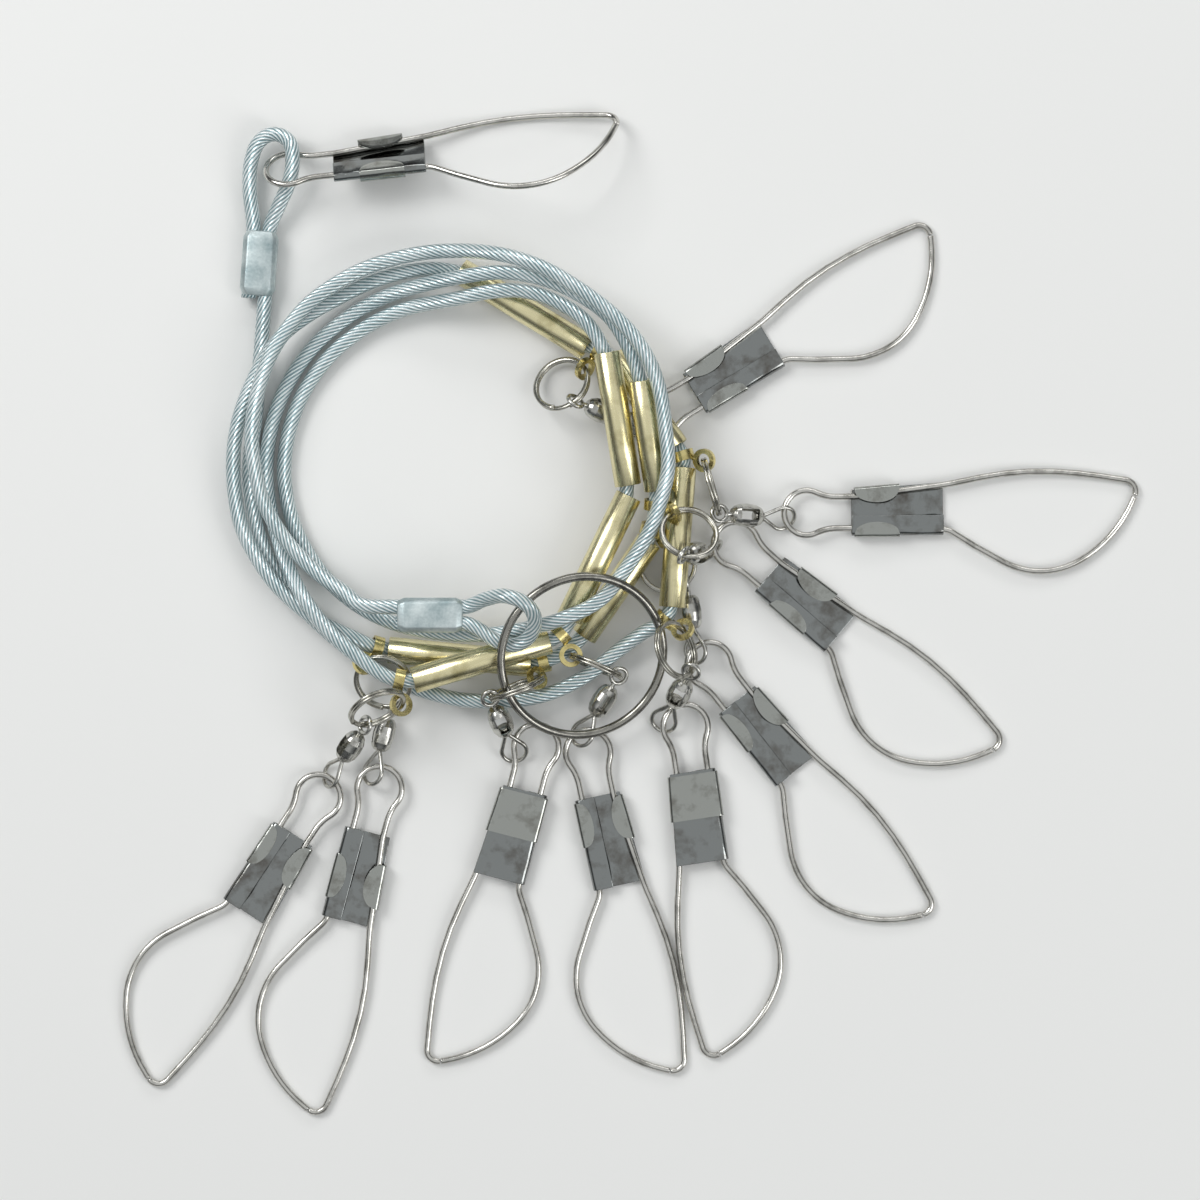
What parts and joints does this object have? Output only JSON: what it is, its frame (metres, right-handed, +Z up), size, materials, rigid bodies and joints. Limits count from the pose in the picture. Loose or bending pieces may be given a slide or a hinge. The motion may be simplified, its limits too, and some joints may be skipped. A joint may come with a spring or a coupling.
{
  "type": "fish stringer",
  "caption": "Cable fish stringer laid in a coil, with brass spacer tubes and hanger straps, split rings, barrel swivels, spring-wire snaps and a big end ring.",
  "frame": {"origin": "middle of the laid-down object, on the ground it lies on", "axes": "+Z up from the ground, +X to the picture's right, +Y to its top; the picture looks straight down"},
  "size_m": [0.3062, 0.3024, 0.0311],
  "materials": {
    "coated_rope": "steel strands under a clear glossy coat",
    "coated_ferrule": "pressed, satin, under the clear coat",
    "brass": "pale bright brass",
    "ring_nickel": "nickel, a little darker and duller",
    "bright_nickel": "bright nickel, lightly scratched"
  },
  "bodies": {
    "rope_coil": {"rope": "coated_rope", "ferrules": "coated_ferrule", "spacer_tubes": "brass"},
    "hanger_strap_2": {"hanger_strap_2": "brass"},
    "split_ring_2": {"split_ring_2": "bright_nickel"},
    "swivel_2": {"swivel_2": "bright_nickel"},
    "swivel_eye_2": {"swivel_eye_2": "bright_nickel"},
    "snap_2": {"snap_2": "bright_nickel"},
    "snap_gate_2": {"snap_gate_2": "bright_nickel"},
    "hanger_strap_3": {"hanger_strap_3": "brass"},
    "split_ring_3": {"split_ring_3": "bright_nickel"},
    "swivel_3": {"swivel_3": "bright_nickel"},
    "swivel_eye_3": {"swivel_eye_3": "bright_nickel"},
    "snap_3": {"snap_3": "bright_nickel"},
    "snap_gate_3": {"snap_gate_3": "bright_nickel"},
    "hanger_strap_4": {"hanger_strap_4": "brass"},
    "split_ring_4": {"split_ring_4": "bright_nickel"},
    "swivel_4": {"swivel_4": "bright_nickel"},
    "swivel_eye_4": {"swivel_eye_4": "bright_nickel"},
    "snap_4": {"snap_4": "bright_nickel"},
    "snap_gate_4": {"snap_gate_4": "bright_nickel"},
    "hanger_strap_5": {"hanger_strap_5": "brass"},
    "split_ring_5": {"split_ring_5": "bright_nickel"},
    "swivel_5": {"swivel_5": "bright_nickel"},
    "swivel_eye_5": {"swivel_eye_5": "bright_nickel"},
    "snap_5": {"snap_5": "bright_nickel"},
    "snap_gate_5": {"snap_gate_5": "bright_nickel"},
    "hanger_strap_6": {"hanger_strap_6": "brass"},
    "split_ring_6": {"split_ring_6": "bright_nickel"},
    "swivel_6": {"swivel_6": "bright_nickel"},
    "swivel_eye_6": {"swivel_eye_6": "bright_nickel"},
    "snap_6": {"snap_6": "bright_nickel"},
    "snap_gate_6": {"snap_gate_6": "bright_nickel"},
    "hanger_strap_7": {"hanger_strap_7": "brass"},
    "split_ring_7": {"split_ring_7": "bright_nickel"},
    "swivel_7": {"swivel_7": "bright_nickel"},
    "swivel_eye_7": {"swivel_eye_7": "bright_nickel"},
    "snap_7": {"snap_7": "bright_nickel"},
    "snap_gate_7": {"snap_gate_7": "bright_nickel"},
    "hanger_strap_8": {"hanger_strap_8": "brass"},
    "split_ring_8": {"split_ring_8": "bright_nickel"},
    "swivel_8": {"swivel_8": "bright_nickel"},
    "swivel_eye_8": {"swivel_eye_8": "bright_nickel"},
    "snap_8": {"snap_8": "bright_nickel"},
    "snap_gate_8": {"snap_gate_8": "bright_nickel"},
    "hanger_strap_9": {"hanger_strap_9": "brass"},
    "split_ring_9": {"split_ring_9": "bright_nickel"},
    "swivel_9": {"swivel_9": "bright_nickel"},
    "swivel_eye_9": {"swivel_eye_9": "bright_nickel"},
    "snap_9": {"snap_9": "bright_nickel"},
    "snap_gate_9": {"snap_gate_9": "bright_nickel"},
    "hanger_strap_10": {"hanger_strap_10": "brass"},
    "split_ring_10": {"split_ring_10": "bright_nickel"},
    "swivel_10": {"swivel_10": "bright_nickel"},
    "swivel_eye_10": {"swivel_eye_10": "bright_nickel"},
    "snap_10": {"snap_10": "bright_nickel"},
    "snap_gate_10": {"snap_gate_10": "bright_nickel"},
    "big_ring": {"big_ring": "ring_nickel"},
    "snap_1": {"snap_1": "bright_nickel"},
    "snap_gate_1": {"snap_gate_1": "bright_nickel"}
  },
  "joints": [
    {"name": "strap_turn_2", "type": "hinge", "parent": "rope_coil", "child": "hanger_strap_2", "pos_m": [-0.0096, 0.0793, 0.0072], "axis": [0.8842, -0.4643, 0.051], "range_deg": [0, 60]},
    {"name": "ring_swing_2", "type": "hinge", "parent": "hanger_strap_2", "child": "split_ring_2", "pos_m": [-0.01383, 0.07348, 0.00758], "axis": [-0.4114, 0.7114, -0.5697], "range_deg": [0, 12]},
    {"name": "swivel_swing_2", "type": "hinge", "parent": "split_ring_2", "child": "swivel_2", "pos_m": [-0.01667, 0.06357, 0.01174], "axis": [0.7909, 0.6118, 0.0135], "range_deg": [0, 45]},
    {"name": "swivel_spin_2", "type": "hinge", "parent": "swivel_2", "child": "swivel_eye_2", "pos_m": [-0.00892, 0.06075, 0.00802], "axis": [-0.8565, 0.3117, 0.4113], "range_deg": [0, 56]},
    {"name": "snap_swing_2", "type": "hinge", "parent": "swivel_eye_2", "child": "snap_2", "pos_m": [0.00122, 0.05706, 0.00315], "axis": [-0.3421, 0.9397, -0.0039], "range_deg": [0, 24]},
    {"name": "gate_press_2", "type": "hinge", "parent": "snap_2", "child": "snap_gate_2", "pos_m": [0.09032, 0.11398, 0.001], "axis": [-0.0174, -0.0105, -0.9998], "range_deg": [0, 5], "stiffness_Nm_per_rad": 0.05},
    {"name": "strap_turn_3", "type": "hinge", "parent": "rope_coil", "child": "hanger_strap_3", "pos_m": [0.0155, 0.0472, 0.0092], "axis": [0.2908, -0.9558, 0.0432], "range_deg": [0, 12]},
    {"name": "ring_swing_3", "type": "hinge", "parent": "hanger_strap_3", "child": "split_ring_3", "pos_m": [0.02183, 0.04585, 0.01236], "axis": [0.0033, -0.1994, 0.9799], "range_deg": [0, 60]},
    {"name": "swivel_swing_3", "type": "hinge", "parent": "split_ring_3", "child": "swivel_3", "pos_m": [0.02635, 0.03008, 0.0115], "axis": [0.0744, -0.0714, -0.9947], "range_deg": [0, 12]},
    {"name": "swivel_spin_3", "type": "hinge", "parent": "swivel_3", "child": "swivel_eye_3", "pos_m": [0.0348, 0.02949, 0.00797], "axis": [0.921, -0.0644, -0.3841], "range_deg": [0, 90]},
    {"name": "snap_swing_3", "type": "hinge", "parent": "swivel_eye_3", "child": "snap_3", "pos_m": [0.04636, 0.02868, 0.00315], "axis": [0.2503, -0.9681, -0.0049], "range_deg": [0, 20]},
    {"name": "gate_press_3", "type": "hinge", "parent": "snap_3", "child": "snap_gate_3", "pos_m": [0.15192, 0.03543, 0.001], "axis": [-0.0204, -0.0002, -0.9998], "range_deg": [0, 5], "stiffness_Nm_per_rad": 0.05},
    {"name": "strap_turn_4", "type": "hinge", "parent": "rope_coil", "child": "hanger_strap_4", "pos_m": [0.0073, 0.0326, 0.012], "axis": [0.0901, 0.9738, 0.2089], "range_deg": [0, 6]},
    {"name": "ring_swing_4", "type": "hinge", "parent": "hanger_strap_4", "child": "split_ring_4", "pos_m": [0.01217, 0.03001, 0.01663], "axis": [-0.7737, -0.4543, 0.4415], "range_deg": [0, 4]},
    {"name": "swivel_swing_4", "type": "hinge", "parent": "split_ring_4", "child": "swivel_4", "pos_m": [0.01533, 0.01733, 0.02387], "axis": [-0.9582, 0.2855, 0.0188], "range_deg": [0, 12]},
    {"name": "swivel_spin_4", "type": "hinge", "parent": "swivel_4", "child": "swivel_eye_4", "pos_m": [0.01932, 0.01803, 0.01543], "axis": [-0.4258, -0.0751, 0.9017], "range_deg": [0, 20]},
    {"name": "snap_swing_4", "type": "hinge", "parent": "swivel_eye_4", "child": "snap_4", "pos_m": [0.02512, 0.01906, 0.00315], "axis": [-0.2587, 0.9658, 0.0173], "range_deg": [0, 60]},
    {"name": "gate_press_4", "type": "hinge", "parent": "snap_4", "child": "snap_gate_4", "pos_m": [0.10915, -0.04102, 0.001], "axis": [-0.0158, 0.0137, -0.9998], "range_deg": [0, 5], "stiffness_Nm_per_rad": 0.05},
    {"name": "strap_turn_5", "type": "hinge", "parent": "rope_coil", "child": "hanger_strap_5", "pos_m": [0.0062, 0.0252, 0.0099], "axis": [0.2469, 0.9171, 0.3129], "range_deg": [0, 7]},
    {"name": "ring_swing_5", "type": "hinge", "parent": "hanger_strap_5", "child": "split_ring_5", "pos_m": [0.00899, 0.0231, 0.0036], "axis": [0.9688, 0.2374, 0.0718], "range_deg": [0, 60]},
    {"name": "swivel_swing_5", "type": "hinge", "parent": "split_ring_5", "child": "swivel_5", "pos_m": [0.01696, 0.0093, 0.00388], "axis": [-0.6888, -0.7223, -0.0621], "range_deg": [0, 6]},
    {"name": "swivel_spin_5", "type": "hinge", "parent": "swivel_5", "child": "swivel_eye_5", "pos_m": [0.01803, 0.00051, 0.00355], "axis": [0.1218, -0.9919, -0.0372], "range_deg": [0, 80]},
    {"name": "snap_swing_5", "type": "hinge", "parent": "swivel_eye_5", "child": "snap_5", "pos_m": [0.01935, -0.01018, 0.00315], "axis": [-0.766, -0.6428, -0.0007], "range_deg": [0, 24]},
    {"name": "gate_press_5", "type": "hinge", "parent": "snap_5", "child": "snap_gate_5", "pos_m": [0.08798, -0.09083, 0.001], "axis": [-0.0125, 0.016, -0.9998], "range_deg": [0, 5], "stiffness_Nm_per_rad": 0.05},
    {"name": "strap_turn_6", "type": "hinge", "parent": "rope_coil", "child": "hanger_strap_6", "pos_m": [0.0102, -0.0018, 0.0084], "axis": [-0.6255, -0.7732, -0.105], "range_deg": [0, 16]},
    {"name": "ring_swing_6", "type": "hinge", "parent": "hanger_strap_6", "child": "split_ring_6", "pos_m": [0.01542, -0.00469, 0.01243], "axis": [-0.6268, 0.6191, 0.4731], "range_deg": [0, 60]},
    {"name": "swivel_swing_6", "type": "hinge", "parent": "split_ring_6", "child": "swivel_6", "pos_m": [0.01787, -0.01729, 0.01515], "axis": [-0.398, -0.5583, 0.728], "range_deg": [0, 8]},
    {"name": "swivel_spin_6", "type": "hinge", "parent": "swivel_6", "child": "swivel_eye_6", "pos_m": [0.01442, -0.02377, 0.00992], "axis": [-0.3823, -0.719, -0.5803], "range_deg": [0, 80]},
    {"name": "snap_swing_6", "type": "hinge", "parent": "swivel_eye_6", "child": "snap_6", "pos_m": [0.00996, -0.03216, 0.00315], "axis": [-0.284, -0.9586, -0.0191], "range_deg": [0, 28]},
    {"name": "gate_press_6", "type": "hinge", "parent": "snap_6", "child": "snap_gate_6", "pos_m": [0.02693, -0.13267, 0.001], "axis": [0.0031, -0.0209, 0.9998], "range_deg": [0, 5], "stiffness_Nm_per_rad": 0.05},
    {"name": "strap_turn_7", "type": "hinge", "parent": "rope_coil", "child": "hanger_strap_7", "pos_m": [-0.0211, -0.006, 0.0111], "axis": [-0.7264, -0.6868, 0.0243], "range_deg": [0, 1]},
    {"name": "ring_swing_7", "type": "hinge", "parent": "hanger_strap_7", "child": "split_ring_7", "pos_m": [-0.01806, -0.01252, 0.01148], "axis": [-0.1843, 0.0065, -0.9828], "range_deg": [0, 0.5]},
    {"name": "swivel_swing_7", "type": "hinge", "parent": "split_ring_7", "child": "swivel_7", "pos_m": [-0.00378, -0.01887, 0.0064], "axis": [0.4295, -0.1156, 0.8957], "range_deg": [0, 45]},
    {"name": "swivel_spin_7", "type": "hinge", "parent": "swivel_7", "child": "swivel_eye_7", "pos_m": [-0.0084, -0.02626, 0.00492], "axis": [-0.5225, -0.8361, -0.1672], "range_deg": [0, 36]},
    {"name": "snap_swing_7", "type": "hinge", "parent": "swivel_eye_7", "child": "snap_7", "pos_m": [-0.01393, -0.03512, 0.00315], "axis": [-0.9877, -0.1564, 0.0011], "range_deg": [0, 5]},
    {"name": "gate_press_7", "type": "hinge", "parent": "snap_7", "child": "snap_gate_7", "pos_m": [0.01182, -0.13781, 0.001], "axis": [-0.0042, 0.0199, -0.9998], "range_deg": [0, 5], "stiffness_Nm_per_rad": 0.05},
    {"name": "strap_turn_8", "type": "hinge", "parent": "rope_coil", "child": "hanger_strap_8", "pos_m": [-0.0261, -0.0142, 0.0047], "axis": [-0.9608, -0.2608, -0.0937], "range_deg": [0, 7.5]},
    {"name": "ring_swing_8", "type": "hinge", "parent": "hanger_strap_8", "child": "split_ring_8", "pos_m": [-0.02817, -0.01931, 0.00933], "axis": [-0.569, -0.1325, -0.8116], "range_deg": [0, 7.5]},
    {"name": "swivel_swing_8", "type": "hinge", "parent": "split_ring_8", "child": "swivel_8", "pos_m": [-0.04204, -0.0252, 0.01452], "axis": [-0.0816, 0.0744, -0.9939], "range_deg": [0, 8]},
    {"name": "swivel_spin_8", "type": "hinge", "parent": "swivel_8", "child": "swivel_eye_8", "pos_m": [-0.03905, -0.03224, 0.00962], "axis": [-0.3292, 0.7755, 0.5387], "range_deg": [0, 44]},
    {"name": "snap_swing_8", "type": "hinge", "parent": "swivel_eye_8", "child": "snap_8", "pos_m": [-0.03509, -0.04156, 0.00315], "axis": [-0.2165, 0.9761, 0.0199], "range_deg": [0, 60]},
    {"name": "gate_press_8", "type": "hinge", "parent": "snap_8", "child": "snap_gate_8", "pos_m": [-0.05736, -0.13496, 0.001], "axis": [-0.0056, -0.0217, 0.9997], "range_deg": [0, 5], "stiffness_Nm_per_rad": 0.05},
    {"name": "strap_turn_9", "type": "hinge", "parent": "rope_coil", "child": "hanger_strap_9", "pos_m": [-0.0764, -0.0102, 0.0048], "axis": [-0.9347, 0.2679, 0.2336], "range_deg": [0, 4]},
    {"name": "ring_swing_9", "type": "hinge", "parent": "hanger_strap_9", "child": "split_ring_9", "pos_m": [-0.08016, -0.01484, 0.00883], "axis": [-0.6958, -0.5837, -0.4186], "range_deg": [0, 2]},
    {"name": "swivel_swing_9", "type": "hinge", "parent": "split_ring_9", "child": "swivel_9", "pos_m": [-0.072, -0.0279, 0.00412], "axis": [-0.9422, -0.1893, -0.2764], "range_deg": [0, 28]},
    {"name": "swivel_spin_9", "type": "hinge", "parent": "swivel_9", "child": "swivel_eye_9", "pos_m": [-0.07441, -0.03632, 0.00367], "axis": [-0.2753, -0.96, -0.0509], "range_deg": [0, 90]},
    {"name": "snap_swing_9", "type": "hinge", "parent": "swivel_eye_9", "child": "snap_9", "pos_m": [-0.07723, -0.04615, 0.00315], "axis": [-0.9743, -0.2249, -0.0096], "range_deg": [0, 20]},
    {"name": "gate_press_9", "type": "hinge", "parent": "snap_9", "child": "snap_gate_9", "pos_m": [-0.0973, -0.1495, 0.001], "axis": [0.0053, 0.0198, -0.9998], "range_deg": [0, 5], "stiffness_Nm_per_rad": 0.05},
    {"name": "strap_turn_10", "type": "hinge", "parent": "rope_coil", "child": "hanger_strap_10", "pos_m": [-0.0693, -0.02, 0.0142], "axis": [-0.9736, 0.2181, 0.0666], "range_deg": [0, 44]},
    {"name": "ring_swing_10", "type": "hinge", "parent": "hanger_strap_10", "child": "split_ring_10", "pos_m": [-0.06867, -0.02717, 0.01445], "axis": [-0.3678, -0.6011, -0.7095], "range_deg": [0, 40]},
    {"name": "swivel_swing_10", "type": "hinge", "parent": "split_ring_10", "child": "swivel_10", "pos_m": [-0.07938, -0.0331, 0.01338], "axis": [-0.8043, -0.0486, 0.5923], "range_deg": [0, 45]},
    {"name": "swivel_spin_10", "type": "hinge", "parent": "swivel_10", "child": "swivel_eye_10", "pos_m": [-0.0841, -0.03985, 0.00914], "axis": [-0.51, -0.7283, -0.4577], "range_deg": [0, 90]},
    {"name": "snap_swing_10", "type": "hinge", "parent": "swivel_eye_10", "child": "snap_10", "pos_m": [-0.09078, -0.04938, 0.00315], "axis": [-0.8616, 0.5075, -0.0011], "range_deg": [0, 60]},
    {"name": "gate_press_10", "type": "hinge", "parent": "snap_10", "child": "snap_gate_10", "pos_m": [-0.14538, -0.14012, 0.001], "axis": [0.0112, 0.0169, -0.9998], "range_deg": [0, 5], "stiffness_Nm_per_rad": 0.05},
    {"name": "big_ring_swing", "type": "hinge", "parent": "rope_coil", "child": "big_ring", "pos_m": [-0.03385, 0.00054, 0.02438], "axis": [-0.5916, -0.7988, -0.1095], "range_deg": [0, 3.5]},
    {"name": "snap_swing_1", "type": "hinge", "parent": "rope_coil", "child": "snap_1", "pos_m": [-0.1095, 0.1326, 0.009], "axis": [-0.0777, 0.7391, -0.6691], "range_deg": [0, 44]},
    {"name": "gate_press_1", "type": "hinge", "parent": "snap_1", "child": "snap_gate_1", "pos_m": [-0.00457, 0.14676, 0.00619], "axis": [0.0699, -0.6655, -0.7431], "range_deg": [0, 5], "stiffness_Nm_per_rad": 0.05}
  ]
}
